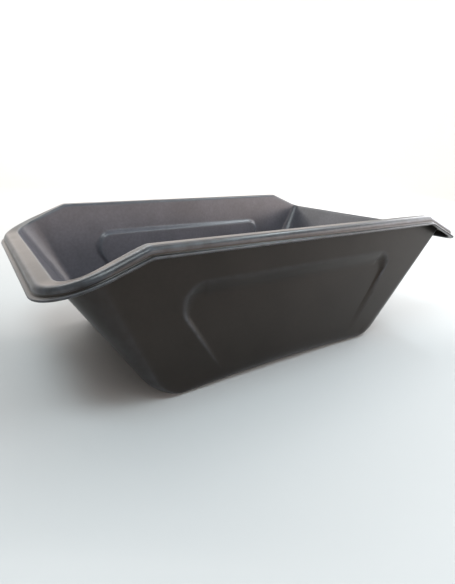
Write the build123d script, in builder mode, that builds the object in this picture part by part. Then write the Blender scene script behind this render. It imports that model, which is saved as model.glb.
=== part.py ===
"""Mortar mixing tub: a one-piece moulded barrow-style tray, modelled as the zones of its moulding.

Units are millimetres. +X points from the low pouring lip to the rear lip, +Y to the right-hand side
of a person who stands behind the tub, and +Z up. The origin is under the middle of the tub, on the
plane that it stands on.
"""

import os
from math import cos, radians, sqrt, tan

from build123d import *

# ---- driving dimensions ----------------------------------------------------------------------

RIM_HEIGHT = 330.0  # top of the side rims above the ground
WALL = 4.0  # thickness of the moulding
FLOOR = 5.0  # thickness of the floor

# Bowl, outside faces. The foot is where the extended wall meets the ground plane.
FRONT_FOOT_X = -311.0
REAR_FOOT_X = 342.0
SIDE_FOOT_Y = 253.0
FRONT_LEAN = 32.3  # degrees from vertical
REAR_LEAN = 28.5
SIDE_LEAN = 7.6
FRONT_FOOT_RADIUS = 123.0  # round between the floor and each wall
REAR_FOOT_RADIUS = 62.0
SIDE_FOOT_RADIUS = 20.0
FRONT_CORNER_RADIUS = (12.0, 78.0)  # upright corners, at the floor and at the rim
REAR_CORNER_RADIUS = (78.0, 12.0)

# Rim, seen from above: the upright face of its skirt.
RIM_HALF_LENGTH = 511.0
RIM_HALF_WIDTH = 325.0
FRONT_RIM_RADIUS = 100.0
REAR_RIM_RADIUS = 28.0
SKIRT_DROP = 20.0  # top of the rim to the underside of the turned-out lip
LIP_REACH = 8.0  # how far the lip stands out from the skirt

# Rim, seen from the side: level between the two kinks, then falling to both ends.
FRONT_KINK_X = -348.0
REAR_KINK_X = 392.0
FRONT_FALL = 0.372  # drop for each millimetre towards the end
REAR_FALL = 0.408

# Stiffening panel pressed into each side wall, given in the plane of the wall's outside face.
PANEL_TOP_Z = 249.0
PANEL_FRONT_X = -316.0  # corner of the panel before rounding, at its top edge
PANEL_REAR_X = 320.0
PANEL_FRONT_SLANT = 0.642
PANEL_REAR_SLANT = 0.474
PANEL_FRONT_RADIUS = 50.0
PANEL_REAR_RADIUS = 38.0
PANEL_FOOT_Z = 39.0  # where the panel has run out into the wall
PANEL_DEPTH = 10.0  # at its top edge

# Where one zone of the moulding ends and the next begins.
FLOOR_ZONE_Z = 9.0
END_ZONE_DEPTH = 100.0  # from an end wall's outside face, along X. The rim's zones meet at its kinks.

# Heights above the floor at which the bowl's outline is set out. The low ones follow the foot rounds.
OUTLINE_STEPS = (0.0, 1.5, 5.0, 11.0, 18.0, 37.5, 54.0)
FAR = 700.0  # safely beyond the tub on every side
OVERLAP = 10.0  # extra length where one form cuts right through another


# ---- shared geometry -------------------------------------------------------------------------


def wall_reach(height, radius, lean):
    """How far a wall's face stands beyond its foot at this height above the floor plane."""
    turn = radians(90 - lean)
    if height >= radius * (1 - cos(turn)):
        return height * tan(radians(lean))
    return sqrt(radius**2 - (radius - height) ** 2) - radius * tan(turn / 2)


def between(pair, height):
    """A value that changes evenly from the floor to the rim."""
    return pair[0] + (pair[1] - pair[0]) * height / RIM_HEIGHT


def rounded_plan(front_x, rear_x, half_width, front_radius, rear_radius):
    """A closed outline in plan with its own radius at the two front and the two rear corners."""
    corners = [
        (front_x, -half_width),
        (rear_x, -half_width),
        (rear_x, half_width),
        (front_x, half_width),
    ]
    radii = [front_radius, rear_radius, rear_radius, front_radius]
    FilletPolyline(*corners, radius=radii, close=True)


def bowl_form(skin, bottom):
    """The solid form of the bowl, moved inwards by the skin and starting at the bottom height."""
    front_shift = skin / cos(radians(FRONT_LEAN)) - bottom * tan(radians(FRONT_LEAN))
    rear_shift = skin / cos(radians(REAR_LEAN)) - bottom * tan(radians(REAR_LEAN))
    side_shift = skin / cos(radians(SIDE_LEAN)) - bottom * tan(radians(SIDE_LEAN))
    with BuildPart() as form:
        for step in [*OUTLINE_STEPS, RIM_HEIGHT + OVERLAP - bottom]:
            front = wall_reach(step, FRONT_FOOT_RADIUS - skin, FRONT_LEAN) - front_shift
            rear = wall_reach(step, REAR_FOOT_RADIUS - skin, REAR_LEAN) - rear_shift
            side = wall_reach(step, SIDE_FOOT_RADIUS - skin, SIDE_LEAN) - side_shift
            with BuildSketch(Plane.XY.offset(bottom + step)):
                with BuildLine():
                    rounded_plan(
                        FRONT_FOOT_X - front,
                        REAR_FOOT_X + rear,
                        SIDE_FOOT_Y + side,
                        between(FRONT_CORNER_RADIUS, step) - skin,
                        between(REAR_CORNER_RADIUS, step) - skin,
                    )
                make_face()
        loft(ruled=True)
    return form.part


def rim_line(drop):
    """The rim's side view, lowered by the drop."""
    top = RIM_HEIGHT - drop
    return [
        (-FAR, top - FRONT_FALL * (FAR + FRONT_KINK_X)),
        (FRONT_KINK_X, top),
        (REAR_KINK_X, top),
        (FAR, top - REAR_FALL * (FAR - REAR_KINK_X)),
    ]


def rim_band(upper_drop, lower_drop):
    """Everything between two copies of the rim's side view."""
    with BuildPart() as band:
        with BuildSketch(Plane.XZ):
            with BuildLine():
                Polyline(*rim_line(upper_drop), *reversed(rim_line(lower_drop)), close=True)
            make_face()
        extrude(amount=FAR, both=True)
    return band.part


def rim_column(grow):
    """An upright column on the rim's outline in plan, grown by this much."""
    with BuildPart() as column:
        with BuildSketch():
            with BuildLine():
                rounded_plan(
                    -RIM_HALF_LENGTH - grow,
                    RIM_HALF_LENGTH + grow,
                    RIM_HALF_WIDTH + grow,
                    FRONT_RIM_RADIUS + grow,
                    REAR_RIM_RADIUS + grow,
                )
            make_face()
        extrude(amount=FAR)
    return column.part


def panel_wedge(skin):
    """The wedge that the pressed panel takes out of a form whose skin lies this far inwards."""
    grow = skin * tan(radians(45 - SIDE_LEAN))
    top = PANEL_TOP_Z + grow
    foot = PANEL_FOOT_Z - OVERLAP
    lean = tan(radians(SIDE_LEAN))
    face_y = SIDE_FOOT_Y - skin / cos(radians(SIDE_LEAN))
    depth_per_mm = PANEL_DEPTH / (top - PANEL_FOOT_Z)
    with BuildPart() as wedge:
        with BuildSketch(Plane.XZ):
            with BuildLine():
                FilletPolyline(
                    (PANEL_FRONT_X - grow + PANEL_FRONT_SLANT * (top - foot), foot),
                    (PANEL_FRONT_X - grow, top),
                    (PANEL_REAR_X + grow, top),
                    (PANEL_REAR_X + grow - PANEL_REAR_SLANT * (top - foot), foot),
                    radius=[0, PANEL_FRONT_RADIUS, PANEL_REAR_RADIUS, 0],
                    close=True,
                )
            make_face()
        extrude(amount=FAR)
        with BuildSketch(Plane.YZ):
            with BuildLine():
                Polyline(
                    (-face_y - foot * lean - OVERLAP * depth_per_mm, foot),
                    (-face_y - top * lean + PANEL_DEPTH, top),
                    (-FAR, top),
                    (-FAR, foot),
                    close=True,
                )
            make_face()
        extrude(amount=FAR, both=True, mode=Mode.INTERSECT)
    return wedge.part


def end_plane(foot_x, lean, inwards):
    """The plane between an end zone and the middle of the tub. Its normal points to the end."""
    return Plane(
        origin=(foot_x + inwards * END_ZONE_DEPTH, 0, 0),
        x_dir=(0, 1, 0),
        z_dir=(-inwards, 0, -tan(radians(lean))),
    )


FLOOR_TOP = Plane.XY.offset(FLOOR_ZONE_Z)
FRONT_KINK = Plane.YZ.offset(FRONT_KINK_X)
REAR_KINK = Plane.YZ.offset(REAR_KINK_X)
FRONT_END = end_plane(FRONT_FOOT_X, FRONT_LEAN, 1)
REAR_END = end_plane(REAR_FOOT_X, REAR_LEAN, -1)

# ---- forms that the moulding is made from ----------------------------------------------------

outer_bowl = bowl_form(0, 0)
inner_bowl = bowl_form(WALL, FLOOR)
outer_wedge = panel_wedge(0)
inner_wedge = panel_wedge(WALL)
above_rim_flat = rim_band(-FAR, WALL)
rim_depth = rim_band(0, SKIRT_DROP)
below_rim_flat = rim_band(WALL, FAR)
lip_depth = rim_band(SKIRT_DROP - WALL, SKIRT_DROP)
skirt_outside = rim_column(0)
skirt_inside = rim_column(-WALL)
lip_outside = rim_column(LIP_REACH)

# ---- the whole moulding ----------------------------------------------------------------------

with BuildPart() as inside:
    add(inner_bowl)
    add(inner_wedge, mode=Mode.SUBTRACT)
    mirror(inner_wedge, about=Plane.XZ, mode=Mode.SUBTRACT)

with BuildPart() as bowl:
    add(outer_bowl)
    add(outer_wedge, mode=Mode.SUBTRACT)
    mirror(outer_wedge, about=Plane.XZ, mode=Mode.SUBTRACT)
    add(inside.part, mode=Mode.SUBTRACT)
    add(above_rim_flat, mode=Mode.SUBTRACT)

with BuildPart() as lip:
    add(lip_outside)
    add(lip_depth, mode=Mode.INTERSECT)

with BuildPart() as rim_hollow:
    add(skirt_inside)
    add(below_rim_flat, mode=Mode.INTERSECT)

with BuildPart() as rim:
    add(skirt_outside)
    add(rim_depth, mode=Mode.INTERSECT)
    add(lip.part)
    add(rim_hollow.part, mode=Mode.SUBTRACT)
    add(inside.part, mode=Mode.SUBTRACT)

# ---- zones of the moulding -------------------------------------------------------------------

with BuildPart() as floor:
    add(bowl.part)
    split(bisect_by=FLOOR_TOP, keep=Keep.BOTTOM)

with BuildPart() as front_wall:
    add(bowl.part)
    split(bisect_by=FLOOR_TOP, keep=Keep.TOP)
    split(bisect_by=FRONT_END, keep=Keep.TOP)

with BuildPart() as rear_wall:
    add(bowl.part)
    split(bisect_by=FLOOR_TOP, keep=Keep.TOP)
    split(bisect_by=REAR_END, keep=Keep.TOP)

with BuildPart() as left_wall:
    add(bowl.part)
    split(bisect_by=FLOOR_TOP, keep=Keep.TOP)
    split(bisect_by=FRONT_END, keep=Keep.BOTTOM)
    split(bisect_by=REAR_END, keep=Keep.BOTTOM)
    split(bisect_by=Plane.XZ, keep=Keep.TOP)

with BuildPart() as right_wall:
    mirror(left_wall.part, about=Plane.XZ)

with BuildPart() as pouring_lip:
    add(rim.part)
    split(bisect_by=FRONT_KINK, keep=Keep.BOTTOM)

with BuildPart() as rear_lip:
    add(rim.part)
    split(bisect_by=REAR_KINK, keep=Keep.TOP)

with BuildPart() as left_rim:
    add(rim.part)
    split(bisect_by=FRONT_KINK, keep=Keep.TOP)
    split(bisect_by=REAR_KINK, keep=Keep.BOTTOM)
    split(bisect_by=Plane.XZ, keep=Keep.TOP)

with BuildPart() as right_rim:
    mirror(left_rim.part, about=Plane.XZ)

# ---- files -----------------------------------------------------------------------------------

floor.part.label = "floor"
front_wall.part.label = "front_wall"
rear_wall.part.label = "rear_wall"
left_wall.part.label = "left_wall"
right_wall.part.label = "right_wall"
pouring_lip.part.label = "pouring_lip"
rear_lip.part.label = "rear_lip"
left_rim.part.label = "left_rim"
right_rim.part.label = "right_rim"

os.makedirs("parts", exist_ok=True)
export_step(floor.part, "parts/floor.step")
export_step(front_wall.part, "parts/front_wall.step")
export_step(rear_wall.part, "parts/rear_wall.step")
export_step(left_wall.part, "parts/left_wall.step")
export_step(right_wall.part, "parts/right_wall.step")
export_step(pouring_lip.part, "parts/pouring_lip.step")
export_step(rear_lip.part, "parts/rear_lip.step")
export_step(left_rim.part, "parts/left_rim.step")
export_step(right_rim.part, "parts/right_rim.step")
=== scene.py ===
"""Mortar mixing tub: the finished skin of its moulding, its plastic and a plain studio.

Sizes are in metres, in the tub's own frame: +X runs from the pouring lip to the rear lip, +Z is up,
and the origin is under the middle of the tub. The skin is one grid. Its columns run round the tub
and its rows run from the floor inside, up over the rim, and down to the floor outside.
"""

from math import cos, pi, radians, sin, tan

import bpy
import numpy as np
from mathutils import Matrix, Vector


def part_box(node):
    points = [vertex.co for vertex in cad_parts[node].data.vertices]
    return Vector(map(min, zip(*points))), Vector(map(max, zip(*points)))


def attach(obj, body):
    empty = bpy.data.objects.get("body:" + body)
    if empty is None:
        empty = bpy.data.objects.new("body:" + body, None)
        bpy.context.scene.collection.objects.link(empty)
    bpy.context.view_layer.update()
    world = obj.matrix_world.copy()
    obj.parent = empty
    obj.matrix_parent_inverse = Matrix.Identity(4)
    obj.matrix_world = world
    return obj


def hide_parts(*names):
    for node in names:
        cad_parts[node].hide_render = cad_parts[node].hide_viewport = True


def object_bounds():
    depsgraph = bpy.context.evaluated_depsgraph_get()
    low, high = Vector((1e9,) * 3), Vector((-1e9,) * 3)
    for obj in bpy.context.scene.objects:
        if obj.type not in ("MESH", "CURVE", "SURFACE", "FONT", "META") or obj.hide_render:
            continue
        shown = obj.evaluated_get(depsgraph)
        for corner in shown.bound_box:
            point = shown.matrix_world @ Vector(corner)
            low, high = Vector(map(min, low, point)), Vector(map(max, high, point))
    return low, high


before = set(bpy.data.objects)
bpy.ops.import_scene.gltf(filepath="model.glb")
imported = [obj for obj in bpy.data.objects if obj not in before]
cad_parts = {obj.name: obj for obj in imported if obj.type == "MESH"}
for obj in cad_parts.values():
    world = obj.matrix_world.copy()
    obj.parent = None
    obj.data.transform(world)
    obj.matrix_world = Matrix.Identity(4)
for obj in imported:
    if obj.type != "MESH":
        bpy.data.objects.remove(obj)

CAD_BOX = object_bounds()
MM = 0.001

# ---- driving sizes ---------------------------------------------------------------------------

WALL = 4.0 * MM  # thickness
FLOOR = 5.0 * MM  # thickness
SIDE_LEAN, FRONT_LEAN, REAR_LEAN = radians(7.6), radians(32.3), radians(28.5)
FOOT_ROUND_FRONT, FOOT_ROUND_REAR = 123.0 * MM, 62.0 * MM
FOOT_ROUND_SIDE = (8.0 * MM, 33.0 * MM)  # at both ends of the side, and at its middle
FOOT_SIDE, FOOT_FRONT, FOOT_REAR = 253.0 * MM, -311.0 * MM, 342.0 * MM  # sharp foot of the walls
FRONT_CORNER = (12.0 * MM, 78.0 * MM)  # upright corners, at the floor and at the rim
REAR_CORNER = (78.0 * MM, 12.0 * MM)

LIP_REACH = 8.0 * MM
LIP_THICK = 4.5 * MM
SKIRT_DROP = 20.0 * MM
RIM_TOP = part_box("left_rim")[1].z
RIM_HALF_WIDTH = CAD_BOX[1][1] - LIP_REACH
RIM_HALF_LENGTH = CAD_BOX[1][0] - LIP_REACH
RIM_FRONT_CORNER, RIM_REAR_CORNER = 100.0 * MM, 28.0 * MM
FRONT_KINK, REAR_KINK = -348.0 * MM, 392.0 * MM  # where the rim starts to fall
FRONT_FALL, REAR_FALL = 0.372, 0.408  # height lost for each metre towards the end
KINK_ROUND = 3.0 * MM

RIDGE_ROUND = 11.0 * MM  # between the rim's flat and its skirt
BROW_ROUND = (4.5 * MM, 9.5 * MM)  # between the bowl and the flat, at the front end and elsewhere
BROW_FROM, BROW_RUN = FRONT_KINK - 110.0 * MM, 80.0 * MM  # where its round grows, along X
FLAT_WIDTH = 30.0 * MM  # about
FLAT_TIP = 8.0 * MM  # how far the flat tips inwards at the front
TIP_RUN = 120.0 * MM  # from the front kink to where it has fully tipped
LIP_TURN = 4.0 * MM
LIP_EDGE = 2.1 * MM
UNDER_TURN = 3.0 * MM

PANEL_TOP, PANEL_FOOT = 249.0 * MM, 39.0 * MM
PANEL_FRONT, PANEL_REAR = -316.0 * MM, 320.0 * MM
PANEL_FRONT_SLANT, PANEL_REAR_SLANT = 0.642, 0.474
PANEL_FRONT_ROUND, PANEL_REAR_ROUND = 50.0 * MM, 38.0 * MM
PANEL_DEPTH = 10.0 * MM
PANEL_LEDGE = 11.0 * MM  # width of the step at its slanted sides
PANEL_TOP_LEDGE = (38.0 * MM, 12.0 * MM)  # width of the step at its top, outside and inside

FLOOR_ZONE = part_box("floor")[1].z

# ---- how closely the rows and columns lie ----------------------------------------------------

BESIDE_KINK = (0.8 * MM, 1.8 * MM, 3.2 * MM, 5.5 * MM, 9.0 * MM)
FALL_TO_FRONT, LEVEL, FALL_TO_REAR = 78 * MM, 741 * MM, 83 * MM  # about, along a side
FALL_STEP, LEVEL_STEP = 6 * MM, 4 * MM
HALF_END = 41  # columns from the middle of an end to the middle of its corner
FRONT_TURN, REAR_TURN = 26, 18  # columns in a corner
FOOT_TOP = 54.0 * MM
FOOT_ROWS = 15
BESIDE_CORNER = 2  # columns from a corner to the line where two walls meet
PANEL_EDGE = (0.62, 0.80)  # shares of a wall's height between which the rows lie closest
WALL_ROWS = (26, 19, 9)  # below, across and above the panel's top edge
PALE_ROWS = 6  # rows over which the paler inside, a painted brighter light, fades out at the brow
MEETING_PASSES = 40  # enough to settle where the bowl's face meets the rim

# ---- plastic ---------------------------------------------------------------------------------

OUTSIDE_DARK, OUTSIDE_LIGHT = (0.0080, 0.0066, 0.0055), (0.0120, 0.0100, 0.0085)
# The inside's paler, bluer colour is painted light: it stands in for the brighter light that falls into
# the bowl, on the same plastic as the outside.
INSIDE_LIT_DARK, INSIDE_LIT_LIGHT = (0.060, 0.057, 0.064), (0.078, 0.074, 0.083)
# The pale bluish edge colour is partly rubbed wear and partly a painted highlight, standing in for the
# sky's reflection along the ridges and lips.
EDGE_WEAR_AND_HIGHLIGHT_COLOUR = (0.066, 0.072, 0.082)
MOTTLE_DARK, MOTTLE_LIGHT = 0.90, 1.10
RUBBED_AND_LIT_LEAST, RUBBED_AND_LIT_MOST = 0.35, 0.75
FULL_WEAR_AND_HIGHLIGHT = 220  # turn of the normal for each metre at which an edge is rubbed most and carries the most painted highlight
ROUGH_LOW, ROUGH_HIGH, SCUFFED = 0.278, 0.305, 0.03
SHEEN_TINT = (1.0, 0.88, 0.80, 1.0)
SHEEN_LEVEL = 0.33

# Features in each metre.
CLOUDS, MOTTLES, RUBS_AND_HIGHLIGHTS, SCUFFS, SHINES, WAVES, GRAINS = 9, 140, 60, 16, 30, 7, 700
SCUFF_STRETCH = (1, 1, 4)
WAVE_HEIGHT, WAVE_STRENGTH = 6.0 * MM, 0.09
GRAIN_HEIGHT, GRAIN_STRENGTH = 0.12 * MM, 0.10

# ---- studio sizes ----------------------------------------------------------------------------

CAMERA_PLACE = Vector((-0.5726, -0.8842, 0.4605))
CAMERA_TURN, CAMERA_DOWN, CAMERA_ROLL = radians(32.94), radians(18.79), radians(1.01)
CAMERA_LENS = 24.49
WORLD_COLOUR = (0.32, 0.32, 0.32)
GROUND_COLOUR = (0.46, 0.448, 0.435)
SWEEP_START, SWEEP_ROUND, SWEEP_HEIGHT = 4.5, 3.0, 8.0  # the ground curves up all round the tub
SWEEP_STEPS, SWEEP_COLUMNS = 24, 144

# Name, place, the point it faces, width, height, brightness and colour.
LIGHTS = (
    ("backdrop_wash", (1.6, 2.6, 5.5), (4.0, 6.2, 0.8), 12.0, 1.2, 20.0, (1.0, 0.99, 0.98)),
    ("back_window", (1.6, 4.2, 1.2), (0, 0, 0.3), 6.0, 1.4, 0.8, (1.0, 0.84, 0.74)),
    ("high_window", (-0.6, 2.8, 2.6), (0.2, 0, 0.2), 3.4, 1.2, 3.5, (0.86, 0.95, 1.0)),
    ("skylight", (1.5, -0.6, 2.6), (0.3, -0.1, 0.2), 3.2, 0.35, 14.0, (0.70, 0.90, 1.0)),
    ("front_window", (1.3, -3.4, 1.25), (0, 0, 0.2), 4.5, 1.6, 3.2, (1.0, 0.93, 0.92)),
    ("low_window", (3.2, -2.8, 0.55), (0, 0, 0.3), 3.5, 1.1, 2.6, (1.0, 0.90, 0.88)),
    ("right_window", (3.6, -0.5, 1.4), (0, 0, 0.2), 4.5, 1.6, 6.5, (0.92, 0.95, 1.0)),
    ("left_window", (-3.4, -0.8, 0.6), (0, 0, 0.2), 2.0, 1.2, 1.2, (0.90, 0.94, 1.0)),
    ("corner_window", (-1.0, -0.9, 2.4), (0.45, 0.28, 0.25), 1.3, 0.7, 14.0, (0.72, 0.90, 1.0)),
)


# ---- columns ---------------------------------------------------------------------------------


def steps(length, step, close_start=(), close_end=()):
    """Shares of a length at even steps, with a few chosen distances beside its ends."""
    inner_start = close_start[-1] if close_start else 0.0
    inner_end = close_end[-1] if close_end else 0.0
    count = max(2, round((length - inner_start - inner_end) / step))
    even = np.linspace(inner_start, length - inner_end, count + 1)
    near_start = [0.0, *close_start[:-1]] if close_start else []
    near_end = [length - d for d in reversed((0.0, *close_end[:-1]))] if close_end else []
    return np.array([*near_start, *even, *near_end]) / length


STRETCHES = [
    np.linspace(0, 1, HALF_END - FRONT_TURN // 2 + 1),  # front end, from its middle to the corner
    np.linspace(0, 1, FRONT_TURN + 1),  # front corner
    steps(FALL_TO_FRONT, FALL_STEP, (), BESIDE_KINK),  # side, falling to the front
    steps(LEVEL, LEVEL_STEP, BESIDE_KINK, BESIDE_KINK),  # side, level
    steps(FALL_TO_REAR, FALL_STEP, BESIDE_KINK, ()),  # side, falling to the rear
    np.linspace(0, 1, REAR_TURN + 1),  # rear corner
    np.linspace(0, 1, HALF_END - REAR_TURN // 2 + 1),  # rear end, from the corner to its middle
]

# Each column's stretch, and its share of the way along it.
STRETCH = np.concatenate([np.full(len(s) - 1, i) for i, s in enumerate(STRETCHES)] + [[6]])
SHARE = np.concatenate([s[:-1] for s in STRETCHES] + [[1.0]])
FIRST = [int(np.argmax(STRETCH == i)) for i in range(7)]  # each stretch's first column
HALF = len(SHARE) - 1  # columns from the middle of the front to the middle of the rear
LOOP = 2 * HALF


def plan(front, rear, half, front_corner, rear_corner, front_kink, rear_kink):
    """Where the left half's columns meet a rounded rectangle, each column at its own height."""
    turn = SHARE * pi / 2
    front_end, rear_end = front + front_corner, rear - rear_corner
    stretches = [STRETCH == i for i in range(7)]
    x = np.select(stretches, [
        front + 0 * SHARE,
        front_end - front_corner * np.cos(turn),
        front_end + SHARE * (front_kink - front_end),
        front_kink + SHARE * (rear_kink - front_kink),
        rear_kink + SHARE * (rear_end - rear_kink),
        rear_end + rear_corner * np.sin(turn),
        rear + 0 * SHARE,
    ])
    y = np.select(stretches, [
        SHARE * (half - front_corner),
        half - front_corner + front_corner * np.sin(turn),
        half + 0 * SHARE,
        half + 0 * SHARE,
        half + 0 * SHARE,
        half - rear_corner + rear_corner * np.cos(turn),
        (1 - SHARE) * (half - rear_corner),
    ])
    return x, -y


def beyond(distance):
    """Distance past a bend, or zero before it, with the bend itself slightly rounded."""
    return (distance + np.sqrt(distance**2 + KINK_ROUND**2)) / 2


def rim_height(x):
    """Height of the rim's ridge."""
    return RIM_TOP - FRONT_FALL * beyond(FRONT_KINK - x) - REAR_FALL * beyond(x - REAR_KINK)


# ---- the bowl --------------------------------------------------------------------------------


def reach(height, radius, lean):
    """How far a wall stands beyond its foot, with the round between the floor and the wall."""
    turn = pi / 2 - lean
    round_part = np.sqrt(np.maximum(radius**2 - (radius - height) ** 2, 0)) - radius * tan(turn / 2)
    return np.where(height >= radius * (1 - cos(turn)), height * tan(lean), round_part)


def blend(pair, height):
    """A value that changes evenly from the floor to the rim."""
    return pair[0] + (pair[1] - pair[0]) * height / RIM_TOP


def ease_in_out(share):
    """An S-shaped step from 0 to 1."""
    t = np.clip(share, 0, 1)
    return t * t * (3 - 2 * t)


def panel_shift(x, z, grow, top_ledge):
    """How far the pressed panel moves the side wall towards the inside."""
    top_normal = np.array([0.0, 1.0])
    front_normal = np.array([-1.0, -PANEL_FRONT_SLANT]) / np.hypot(1, PANEL_FRONT_SLANT)
    rear_normal = np.array([1.0, -PANEL_REAR_SLANT]) / np.hypot(1, PANEL_REAR_SLANT)
    top = PANEL_TOP + grow
    point = np.stack([x, z], -1)
    inside_top = top - z
    front_foot = np.array([PANEL_FRONT - grow, top])
    rear_foot = np.array([PANEL_REAR + grow, top])
    inside_front = (front_foot - point) @ front_normal
    inside_rear = (rear_foot - point) @ rear_normal
    inside_side = np.minimum(inside_front, inside_rear)
    inside = np.minimum(inside_top, inside_side)
    topness = np.where(inside_top < inside_side, 1.0, 0.0)
    corners = (
        (front_foot, front_normal, PANEL_FRONT_ROUND),
        (rear_foot, rear_normal, PANEL_REAR_ROUND),
    )
    for corner, normal, radius in corners:
        sides = np.array([top_normal, normal])
        centre = corner - np.linalg.solve(sides, [radius, radius])
        along = np.linalg.solve(sides.T, (point - centre).T).T
        in_round = (along[..., 0] > 0) & (along[..., 1] > 0)
        rounded = radius - np.hypot(*(point - centre).T)
        inside = np.where(in_round, np.minimum(inside, rounded), inside)
        topness = np.where(in_round, along[..., 0] / np.maximum(along.sum(-1), MM), topness)
    depth = PANEL_DEPTH * np.clip((z - PANEL_FOOT) / (PANEL_TOP - PANEL_FOOT), 0, None)
    return depth * ease_in_out(inside / (PANEL_LEDGE + (top_ledge - PANEL_LEDGE) * topness))


def bowl(skin, z):
    """One row of the bowl's inner or outer face, with a height for each column."""
    bottom = FLOOR if skin else 0.0
    step = np.maximum(z - bottom, 0)

    def face(foot_round, lean):
        shift = skin / cos(lean) - bottom * tan(lean)
        return reach(step, foot_round - skin, lean) - shift

    front = FOOT_FRONT - face(FOOT_ROUND_FRONT, FRONT_LEAN)
    rear = FOOT_REAR + face(FOOT_ROUND_REAR, REAR_LEAN)
    front_corner = blend(FRONT_CORNER, step) - skin
    rear_corner = blend(REAR_CORNER, step) - skin
    top_front = FOOT_FRONT - RIM_TOP * tan(FRONT_LEAN) + skin / cos(FRONT_LEAN) + FRONT_CORNER[1] - skin
    top_rear = FOOT_REAR + RIM_TOP * tan(REAR_LEAN) - skin / cos(REAR_LEAN) - REAR_CORNER[1] + skin
    front_kink = front + front_corner + (FRONT_KINK - top_front)
    rear_kink = rear - rear_corner - (top_rear - REAR_KINK)
    ends = (front_corner, rear_corner, front_kink, rear_kink)
    x = plan(front, rear, FOOT_SIDE, *ends)[0]
    middle, reach_of_side = (FOOT_REAR + FOOT_FRONT) / 2, (FOOT_REAR - FOOT_FRONT) / 2
    towards_middle = np.clip(1 - ((x - middle) / reach_of_side) ** 2, 0, 1)
    foot_round = FOOT_ROUND_SIDE[0] + (FOOT_ROUND_SIDE[1] - FOOT_ROUND_SIDE[0]) * towards_middle
    half = FOOT_SIDE + face(foot_round, SIDE_LEAN)
    x, y = plan(front, rear, half, *ends)
    on_side = (STRETCH >= 2) & (STRETCH <= 4)
    grow = skin * tan(pi / 4 - SIDE_LEAN)
    shift = panel_shift(x, z, grow, PANEL_TOP_LEDGE[1 if skin else 0])
    y = y + np.where(on_side, shift, 0)
    return np.stack([x, y, z + 0 * x], -1)


# ---- the rim ---------------------------------------------------------------------------------


def rim_row(grow, drop):
    """One row of the rim: its plan outline grown sideways, at this depth below the ridge."""
    x, y = plan(
        -RIM_HALF_LENGTH - grow,
        RIM_HALF_LENGTH + grow,
        RIM_HALF_WIDTH + grow,
        RIM_FRONT_CORNER + grow,
        RIM_REAR_CORNER + grow,
        FRONT_KINK,
        REAR_KINK,
    )
    return np.stack([x, y, rim_height(x) - drop], -1)


def flat_dip(x):
    """How far the rim's inner edge lies below its ridge line: the flat tips inwards at the front."""
    return FLAT_TIP * ease_in_out((FRONT_KINK - x) / TIP_RUN)


def where_bowl_meets_rim(skin, drop):
    """The row where the bowl's face meets the rim's flat, or the underside of the flat."""
    x = rim_row(-FLAT_WIDTH, 0)[:, 0]
    for _ in range(MEETING_PASSES):
        z = rim_height(x) - drop - flat_dip(x)
        x = bowl(skin, z)[:, 0]
    return bowl(skin, z)


def unit(v):
    """Vectors of the same directions, each one long."""
    return v / np.linalg.norm(v, axis=-1, keepdims=True)


def rounded(before, corner, after, radius, count):
    """Rows that turn an edge with a round of this radius, from the row before to the row after."""
    a, b = unit(before - corner), unit(after - corner)
    cosine = np.clip((a * b).sum(-1, keepdims=True), -1, 1)
    half_angle = np.arccos(cosine) / 2
    tangent = radius / np.tan(half_angle)
    centre = corner + unit(a + b) * radius / np.sin(half_angle)
    start = corner + a * tangent - centre
    end = corner + b * tangent - centre
    sweep = pi - 2 * half_angle
    rows = []
    for i in range(count + 1):
        t = i / count
        rows.append(centre + (np.sin((1 - t) * sweep) * start + np.sin(t * sweep) * end) / np.sin(sweep))
    return rows


def rows_between(a, b, *shares):
    """Rows at these shares of the way from one row to another."""
    return [a + (b - a) * t for t in shares]


# ---- rows ------------------------------------------------------------------------------------

foot_steps = [FOOT_TOP * (i / FOOT_ROWS) ** 2 for i in range(FOOT_ROWS + 1)]
FLOOR_ROW = min(range(FOOT_ROWS + 1), key=lambda i: abs(FLOOR + foot_steps[i] - FLOOR_ZONE))
wall_shares = np.concatenate([
    np.linspace(0, PANEL_EDGE[0], WALL_ROWS[0] + 1)[:-1],
    np.linspace(*PANEL_EDGE, WALL_ROWS[1] + 1)[:-1],
    np.linspace(PANEL_EDGE[1], 1, WALL_ROWS[2] + 1),
])


def wall_rows(skin, top):
    """Rows from the floor up to just under the top row, which sets each column's height."""
    bottom = FLOOR if skin else 0.0
    rows = [bowl(skin, np.full(HALF + 1, bottom + s)) for s in foot_steps]
    low = bottom + FOOT_TOP
    rows += [bowl(skin, low + (top[:, 2] - low) * s) for s in wall_shares[1:]]
    return rows


brow = where_bowl_meets_rim(WALL, 0.0)
under = where_bowl_meets_rim(0.0, WALL)
ridge = rim_row(0.0, 0.0)
skirt_turn = rim_row(0.0, SKIRT_DROP - LIP_THICK)
lip_top = rim_row(LIP_REACH, SKIRT_DROP - LIP_THICK)
lip_bottom = rim_row(LIP_REACH, SKIRT_DROP)
skirt_inside = rim_row(-WALL, SKIRT_DROP)
skirt_under = rim_row(-WALL, WALL)

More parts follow.
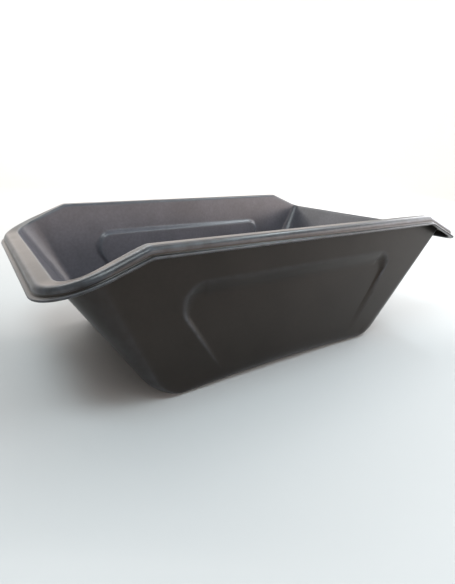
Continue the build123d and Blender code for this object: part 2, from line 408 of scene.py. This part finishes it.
below_brow = bowl(WALL, brow[:, 2] - SKIRT_DROP)
below_under = bowl(0.0, under[:, 2] - SKIRT_DROP)
brow_share = ease_in_out((brow[:, :1] - BROW_FROM) / BROW_RUN)
brow_radius = BROW_ROUND[0] + (BROW_ROUND[1] - BROW_ROUND[0]) * brow_share
brow_round = rounded(below_brow, brow, ridge, brow_radius, 8)
under_round = rounded(skirt_under, under, below_under, UNDER_TURN, 4)
inner_rows = wall_rows(WALL, brow_round[0])
outer_rows = wall_rows(0.0, under_round[-1])[::-1]
ridge_round = rounded(brow, ridge, skirt_turn, RIDGE_ROUND, 9)
turn_round = rounded(ridge, skirt_turn, lip_top, LIP_TURN, 5)
lip_edge_top = rounded(skirt_turn, lip_top, lip_bottom, LIP_EDGE, 4)
lip_edge_bottom = rounded(lip_top, lip_bottom, skirt_inside, LIP_EDGE, 4)
skirt_edge = rounded(lip_bottom, skirt_inside, skirt_under, WALL / 2, 3)
skirt_corner = rounded(skirt_inside, skirt_under, under, RIDGE_ROUND - WALL, 6)

rim_rows = [
    *brow_round,
    *rows_between(brow_round[-1], ridge_round[0], 0.04, 0.3, 0.7, 0.96),
    *ridge_round,
    *rows_between(ridge_round[-1], turn_round[0], 0.1, 0.5, 0.9),
    *turn_round,
    *lip_edge_top,
    *lip_edge_bottom,
    *rows_between(lip_edge_bottom[-1], skirt_edge[0], 0.1, 0.9),
    *skirt_edge,
    *rows_between(skirt_edge[-1], skirt_corner[0], 0.1, 0.9),
    *skirt_corner,
    *rows_between(skirt_corner[-1], under_round[0], 0.1, 0.9),
    *under_round,
]
half_rows = np.array([*inner_rows[:-1], *rim_rows, *outer_rows[1:]])
FLIP = np.array([1.0, -1.0, 1.0])
SKIN = np.concatenate([half_rows, half_rows[:, -2:0:-1] * FLIP], 1)
ROWS = len(SKIN)
RIM_START = len(inner_rows) - 1
RIM_END = RIM_START + len(rim_rows) - 1


def skin_normals(grid):
    """Smooth normals of the whole skin, so that the zones cut from it meet without a seam."""
    ahead = np.roll(grid, -1, 1)
    faces = np.cross(grid[1:] - ahead[:-1], ahead[1:] - grid[:-1])
    faces = faces + np.roll(faces, 1, 1)
    total = np.zeros_like(grid)
    total[:-1] += faces
    total[1:] += faces
    total[0] = (0, 0, 1)
    total[-1] = (0, 0, -1)
    return unit(total)


NORMALS = skin_normals(SKIN)


# ---- zones -----------------------------------------------------------------------------------


class Zone:
    """A closed piece of the moulding. Its skin faces keep the whole skin's normals."""

    def __init__(self, name, node):
        self.name = name
        self.node = node
        self.points = []
        self.normals = []
        self.wear_and_highlight = []
        self.inner = []
        self.index = {}
        self.faces = []
        self.smooth = []

    def add_point(self, key, point, normal, wear_and_highlight, inner):
        if key not in self.index:
            self.index[key] = len(self.points)
            self.points.append(point)
            self.normals.append(normal)
            self.wear_and_highlight.append(wear_and_highlight)
            self.inner.append(inner)
        return self.index[key]

    def grid_point(self, row, column):
        at = (row, column % LOOP)
        return self.add_point(at, SKIN[at], NORMALS[at], EDGE_WEAR_AND_HIGHLIGHT[at], LIT_INSIDE_SHARE[row])

    def face(self, corners, smooth):
        self.faces.append(corners)
        self.smooth.append(smooth)

    def band(self, row, next_row, columns, smooth=True):
        for c, d in zip(columns[:-1], columns[1:]):
            quad = [(row, c), (next_row, c), (next_row, d), (row, d)]
            self.face([self.grid_point(*corner) for corner in quad], smooth)

    def section(self, rows, column, facing_back):
        """Closes the zone across the moulding, at one column."""
        ring = [self.grid_point(row, column) for row in rows]
        self.face(ring[::-1] if facing_back else ring, False)

    def build(self):
        mesh = bpy.data.meshes.new(self.name)
        mesh.from_pydata([tuple(p) for p in self.points], [], self.faces)
        mesh.polygons.foreach_set("use_smooth", self.smooth)
        mesh.update()
        loops = []
        for polygon, smooth in zip(mesh.polygons, self.smooth):
            flat = tuple(polygon.normal)
            loops += [tuple(self.normals[v]) if smooth else flat for v in polygon.vertices]
        mesh.normals_split_custom_set(loops)
        for kind, values in (("wear_and_highlight", self.wear_and_highlight), ("inner", self.inner)):
            mesh.attributes.new(kind, "FLOAT", "POINT").data.foreach_set("value", values)
        piece = bpy.data.objects.new(self.name, mesh)
        bpy.context.scene.collection.objects.link(piece)
        mesh.materials.append(PLASTIC)
        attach(piece, "root")
        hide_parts(self.node)
        return piece


def wall_zone(name, node, columns):
    """A wall, from the floor zone up to the rim, both faces and all four edges."""
    zone = Zone(name, node)
    inner = list(range(FLOOR_ROW, RIM_START + 1))
    outer = list(range(RIM_END, ROWS - FLOOR_ROW))
    for rows in (inner, outer):
        for a, b in zip(rows[:-1], rows[1:]):
            zone.band(a, b, columns)
    zone.band(inner[-1], outer[0], columns, smooth=False)
    zone.band(outer[-1], inner[0], columns, smooth=False)
    zone.section(inner + outer, columns[0], True)
    zone.section(inner + outer, columns[-1], False)
    return zone.build()


def rim_zone(name, node, columns):
    """A stretch of the rim: the flat, the skirt, the lip and their inner faces."""
    zone = Zone(name, node)
    rows = list(range(RIM_START, RIM_END + 1))
    for a, b in zip(rows[:-1], rows[1:]):
        zone.band(a, b, columns)
    zone.band(rows[-1], rows[0], columns, smooth=False)
    zone.section(rows, columns[0], True)
    zone.section(rows, columns[-1], False)
    return zone.build()


def fill_floor(zone, row, up):
    """Fills a floor with a grid that meets every column of the ring round it."""
    count = 2 * HALF_END
    long = HALF - count
    ring = [(HALF_END + i) % LOOP for i in range(LOOP)]
    left = ring[: long + 1]
    rear = ring[long : long + count + 1]
    right = ring[long + count : 2 * long + count + 1][::-1]
    front = [(HALF_END - i) % LOOP for i in range(count + 1)]
    left_points, right_points = SKIN[row][left], SKIN[row][right]
    normal = (0, 0, 1 if up else -1)

    def node(i, j):
        """i counts from front to rear and j from left to right."""
        if j == 0:
            return zone.grid_point(row, left[i])
        if j == count:
            return zone.grid_point(row, right[i])
        if i == 0:
            return zone.grid_point(row, front[j])
        if i == long:
            return zone.grid_point(row, rear[j])
        s, t = i / long, j / count
        front_point, rear_point = SKIN[row][front[j]], SKIN[row][rear[j]]
        ends = (1 - s) * front_point + s * rear_point
        sides = (1 - t) * left_points[i] + t * right_points[i]
        corners = (1 - s) * ((1 - t) * left_points[0] + t * right_points[0])
        corners = corners + s * ((1 - t) * left_points[-1] + t * right_points[-1])
        return zone.add_point(("fill", row, i, j), ends + sides - corners, normal, 0.0, LIT_INSIDE_SHARE[row])

    for i in range(long):
        for j in range(count):
            quad = [node(i, j), node(i + 1, j), node(i + 1, j + 1), node(i, j + 1)]
            zone.face(quad if up else quad[::-1], True)


def floor_zone(name, node):
    """The floor plate with the start of the round at its edge."""
    zone = Zone(name, node)
    columns = list(range(LOOP + 1))
    for row in range(FLOOR_ROW):
        zone.band(row, row + 1, columns)
        zone.band(ROWS - 2 - row, ROWS - 1 - row, columns)
    zone.band(FLOOR_ROW, ROWS - 1 - FLOOR_ROW, columns, smooth=False)
    fill_floor(zone, 0, True)
    fill_floor(zone, ROWS - 1, False)
    return zone.build()


# ---- material --------------------------------------------------------------------------------


def wear_and_highlight_on_edges(grid, normals):
    """How strongly each point of the skin bulges, from 0 on flats and hollows to 1 on edges."""
    bulge = np.zeros(grid.shape[:2])
    for step, axis in ((1, 1), (-1, 1), (1, 0), (-1, 0)):
        apart = grid - np.roll(grid, step, axis)
        turned = normals - np.roll(normals, step, axis)
        bulge += (apart * turned).sum(-1) / np.maximum((apart * apart).sum(-1), 1e-12)
    return np.clip(bulge / FULL_WEAR_AND_HIGHLIGHT, 0, 1)


def plastic():
    """Near-black satin plastic with a fine moulded grain, gentle waves, rubbed edges that also carry a
    painted bluish highlight, and a paler inside that is painted brighter light.
    """
    material = bpy.data.materials.new("tub_plastic")
    material.use_nodes = True
    nodes, links = material.node_tree.nodes, material.node_tree.links
    shader = nodes["Principled BSDF"]
    place = nodes.new("ShaderNodeTexCoord").outputs["Object"]

    def noise(scale, detail, stretch=None):
        source = place
        if stretch:
            mapping = nodes.new("ShaderNodeMapping")
            mapping.inputs["Scale"].default_value = stretch
            links.new(place, mapping.inputs["Vector"])
            source = mapping.outputs["Vector"]
        texture = nodes.new("ShaderNodeTexNoise")
        texture.inputs["Scale"].default_value = scale
        texture.inputs["Detail"].default_value = detail
        links.new(source, texture.inputs["Vector"])
        return texture.outputs["Fac"]

    def ramp(value, low, high, low_out, high_out):
        node = nodes.new("ShaderNodeMapRange")
        node.inputs["From Min"].default_value = low
        node.inputs["From Max"].default_value = high
        node.inputs["To Min"].default_value = low_out
        node.inputs["To Max"].default_value = high_out
        links.new(value, node.inputs["Value"])
        return node.outputs["Result"]

    def math(operation, a, b):
        node = nodes.new("ShaderNodeMath")
        node.operation = operation
        links.new(a, node.inputs[0])
        links.new(b, node.inputs[1])
        return node.outputs["Value"]

    def mix(factor, a, b):
        node = nodes.new("ShaderNodeMix")
        node.data_type = "RGBA"
        links.new(factor, node.inputs["Factor"])
        first, second = [socket for socket in node.inputs if socket.type == "RGBA"]
        for socket, value in ((first, a), (second, b)):
            if isinstance(value, tuple):
                socket.default_value = (*value, 1)
            else:
                links.new(value, socket)
        return next(socket for socket in node.outputs if socket.type == "RGBA")

    def bump(height, distance, strength, under=None):
        node = nodes.new("ShaderNodeBump")
        node.inputs["Distance"].default_value = distance
        node.inputs["Strength"].default_value = strength
        links.new(height, node.inputs["Height"])
        if under:
            links.new(under, node.inputs["Normal"])
        return node.outputs["Normal"]

    def painted(name):
        node = nodes.new("ShaderNodeAttribute")
        node.attribute_name = name
        return node.outputs["Fac"]

    wear_and_highlight, inner = painted("wear_and_highlight"), painted("inner")

    cloud = ramp(noise(CLOUDS, 3), 0.35, 0.65, 0, 1)
    mottle = ramp(noise(MOTTLES, 2), 0.3, 0.7, MOTTLE_DARK, MOTTLE_LIGHT)
    outside = mix(cloud, OUTSIDE_DARK, OUTSIDE_LIGHT)
    # Painted light: the inside takes a paler, bluer colour in place of the brighter light that falls
    # into the bowl.
    inside = mix(cloud, INSIDE_LIT_DARK, INSIDE_LIT_LIGHT)
    colour = mix(inner, outside, inside)
    tone = nodes.new("ShaderNodeVectorMath")
    tone.operation = "SCALE"
    links.new(colour, tone.inputs["Vector"])
    links.new(mottle, tone.inputs["Scale"])
    colour = tone.outputs["Vector"]
    # Convex edges get the pale bluish edge colour: partly rubbed wear, partly a painted highlight in
    # place of the sky's reflection along the ridges.
    rubbing_and_highlight = ramp(noise(RUBS_AND_HIGHLIGHTS, 4), 0.35, 0.65, RUBBED_AND_LIT_LEAST, RUBBED_AND_LIT_MOST)
    rubbed_and_highlit = math("MULTIPLY", wear_and_highlight, rubbing_and_highlight)
    colour = mix(rubbed_and_highlit, colour, EDGE_WEAR_AND_HIGHLIGHT_COLOUR)
    links.new(colour, shader.inputs["Base Color"])

    scuff = ramp(noise(SCUFFS, 3, SCUFF_STRETCH), 0.45, 0.75, 0, SCUFFED)
    gloss = math("ADD", ramp(noise(SHINES, 4), 0.3, 0.7, ROUGH_LOW, ROUGH_HIGH), scuff)
    links.new(gloss, shader.inputs["Roughness"])

    waves = bump(noise(WAVES, 2), WAVE_HEIGHT, WAVE_STRENGTH)
    grain = bump(noise(GRAINS, 1), GRAIN_HEIGHT, GRAIN_STRENGTH, waves)
    links.new(grain, shader.inputs["Normal"])
    shader.inputs["IOR"].default_value = 1.5
    shader.inputs["Specular Tint"].default_value = SHEEN_TINT
    shader.inputs["Specular IOR Level"].default_value = SHEEN_LEVEL
    return material


# How much rubbed wear and painted highlight each point of the skin gets, from how strongly it bulges.
EDGE_WEAR_AND_HIGHLIGHT = wear_and_highlight_on_edges(SKIN, NORMALS)
# Share of the painted brighter inside colour for each row: full inside the bowl, fading out at the brow.
LIT_INSIDE_SHARE = np.clip((RIM_START + PALE_ROWS - np.arange(ROWS)) / PALE_ROWS, 0, 1)
PLASTIC = plastic()

# ---- the tub ---------------------------------------------------------------------------------


def shared_out(front_cut, rear_cut):
    """The columns of the front, left, rear and right zones, cut at these two columns."""
    return (
        list(range(LOOP - front_cut, LOOP + front_cut + 1)),
        list(range(front_cut, rear_cut + 1)),
        list(range(rear_cut, LOOP - rear_cut + 1)),
        list(range(LOOP - rear_cut, LOOP - front_cut + 1)),
    )


# The walls meet just beside their corners, and the rims at the kinks.
wall_cuts = FIRST[2] + BESIDE_CORNER, FIRST[5] - BESIDE_CORNER
front_wall, left_wall, rear_wall, right_wall = shared_out(*wall_cuts)
pouring_lip, left_rim, rear_lip, right_rim = shared_out(FIRST[3], FIRST[4])

floor_zone("tub_floor", "floor")
wall_zone("tub_front_wall", "front_wall", front_wall)
wall_zone("tub_rear_wall", "rear_wall", rear_wall)
wall_zone("tub_left_wall", "left_wall", left_wall)
wall_zone("tub_right_wall", "right_wall", right_wall)
rim_zone("tub_pouring_lip", "pouring_lip", pouring_lip)
rim_zone("tub_rear_lip", "rear_lip", rear_lip)
rim_zone("tub_left_rim", "left_rim", left_rim)
rim_zone("tub_right_rim", "right_rim", right_rim)

# ---- studio ----------------------------------------------------------------------------------


def camera():
    """The camera, aimed by its turn from +Y, its tip down and its roll."""
    ahead = Vector((sin(CAMERA_TURN), cos(CAMERA_TURN), 0))
    side = Vector((cos(CAMERA_TURN), -sin(CAMERA_TURN), 0))
    up = Vector((0, 0, 1))
    look = ahead * cos(CAMERA_DOWN) - up * sin(CAMERA_DOWN)
    over = ahead * sin(CAMERA_DOWN) + up * cos(CAMERA_DOWN)
    right = side * cos(CAMERA_ROLL) + over * sin(CAMERA_ROLL)
    top = over * cos(CAMERA_ROLL) - side * sin(CAMERA_ROLL)
    data = bpy.data.cameras.new("camera")
    data.lens = CAMERA_LENS
    data.clip_end = 100
    eye = bpy.data.objects.new("camera", data)
    bpy.context.scene.collection.objects.link(eye)
    turn = Matrix((right, top, -look)).transposed().to_4x4()
    eye.matrix_world = Matrix.Translation(CAMERA_PLACE) @ turn
    bpy.context.scene.camera = eye


def soft_light(name, place, target, width, height, radiance, colour):
    """A soft panel of light. Its brightness is that of its face, whatever its size."""
    data = bpy.data.lights.new(name, "AREA")
    data.shape = "RECTANGLE"
    data.size, data.size_y = width, height
    data.energy = radiance * pi * width * height
    data.color = colour
    lamp = bpy.data.objects.new(name, data)
    bpy.context.scene.collection.objects.link(lamp)
    lamp.location = place
    lamp.rotation_euler = (Vector(target) - Vector(place)).to_track_quat("-Z", "Y").to_euler()
    lamp.visible_camera = False


def studio():
    """A plain pale ground that curves up all round the tub, under an even grey sky."""
    world = bpy.data.worlds.new("studio")
    world.use_nodes = True
    world.node_tree.nodes["Background"].inputs["Color"].default_value = (*WORLD_COLOUR, 1)
    bpy.context.scene.world = world
    rings = [(SWEEP_START / 2, 0), (SWEEP_START * 0.9, 0)]  # radius and height
    for i in range(SWEEP_STEPS + 1):
        turn = i / SWEEP_STEPS * pi / 2
        rings.append((SWEEP_START + SWEEP_ROUND * sin(turn), SWEEP_ROUND * (1 - cos(turn))))
    rings.append((SWEEP_START + SWEEP_ROUND, SWEEP_HEIGHT))
    points = [(0, 0, 0)]
    for radius, height in rings:
        for i in range(SWEEP_COLUMNS):
            angle = i / SWEEP_COLUMNS * 2 * pi
            points.append((radius * cos(angle), radius * sin(angle), height))
    faces = []
    for i in range(SWEEP_COLUMNS):
        ahead = (i + 1) % SWEEP_COLUMNS
        faces.append((0, 1 + i, 1 + ahead))
        for ring in range(len(rings) - 1):
            start = 1 + ring * SWEEP_COLUMNS
            above = start + SWEEP_COLUMNS
            faces.append((start + i, above + i, above + ahead, start + ahead))
    mesh = bpy.data.meshes.new("ground")
    mesh.from_pydata(points, [], faces)
    mesh.polygons.foreach_set("use_smooth", [True] * len(faces))
    ground = bpy.data.objects.new("ground", mesh)
    bpy.context.scene.collection.objects.link(ground)
    material = bpy.data.materials.new("ground")
    material.use_nodes = True
    shader = material.node_tree.nodes["Principled BSDF"]
    shader.inputs["Base Color"].default_value = (*GROUND_COLOUR, 1)
    shader.inputs["Roughness"].default_value = 0.9
    shader.inputs["Specular IOR Level"].default_value = 0.1
    mesh.materials.append(material)


bpy.context.scene.view_settings.view_transform = "Standard"
camera()
studio()
for light in LIGHTS:
    soft_light(*light)
